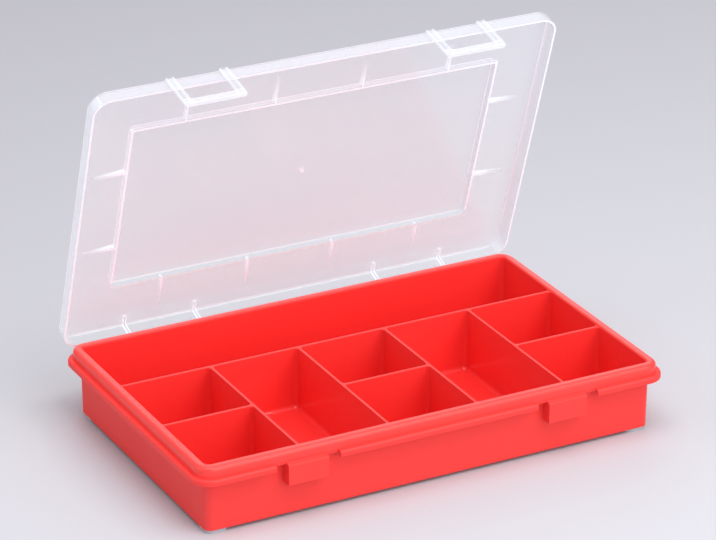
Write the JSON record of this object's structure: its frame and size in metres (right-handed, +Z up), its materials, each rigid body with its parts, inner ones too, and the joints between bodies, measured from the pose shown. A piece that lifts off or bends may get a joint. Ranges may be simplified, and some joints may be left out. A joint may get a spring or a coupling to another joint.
{
  "type": "compartment storage box",
  "caption": "Shallow red plastic tray divided into open compartments, with a clear lid on snap hinges and clear latch loops that hook under front catches.",
  "frame": {"origin": "standing plane at the feet, under the middle of the tray", "axes": "+X along the length, +Y towards the hinge side, +Z up"},
  "size_m": [0.29, 0.1905, 0.2103],
  "materials": {
    "red_plastic": "satin",
    "clear_lid": "gloss",
    "clear_latch": "gloss",
    "clear_pad": "satin"
  },
  "bodies": {
    "tray": {"tray": "red_plastic", "foot_front_left": "clear_pad", "foot_front_right": "clear_pad", "foot_rear_left": "clear_pad", "foot_rear_right": "clear_pad"},
    "lid": {"lid": "clear_lid"},
    "latch_left": {"latch_left": "clear_latch"},
    "latch_right": {"latch_right": "clear_latch"}
  },
  "joints": [
    {"name": "lid_hinge", "type": "hinge", "parent": "tray", "child": "lid", "pos_m": [0, 0.0913, 0.0347], "axis": [-1, 0, 0], "range_deg": [-71.5, 108.5]},
    {"name": "latch_left_swing", "type": "hinge", "parent": "lid", "child": "latch_left", "pos_m": [-0.08, 0.04199, 0.20949], "axis": [-1, 0, 0], "range_deg": [-4.5, 85.5]},
    {"name": "latch_right_swing", "type": "hinge", "parent": "lid", "child": "latch_right", "pos_m": [0.08, 0.04199, 0.20949], "axis": [-1, 0, 0], "range_deg": [-4.5, 85.5]}
  ]
}
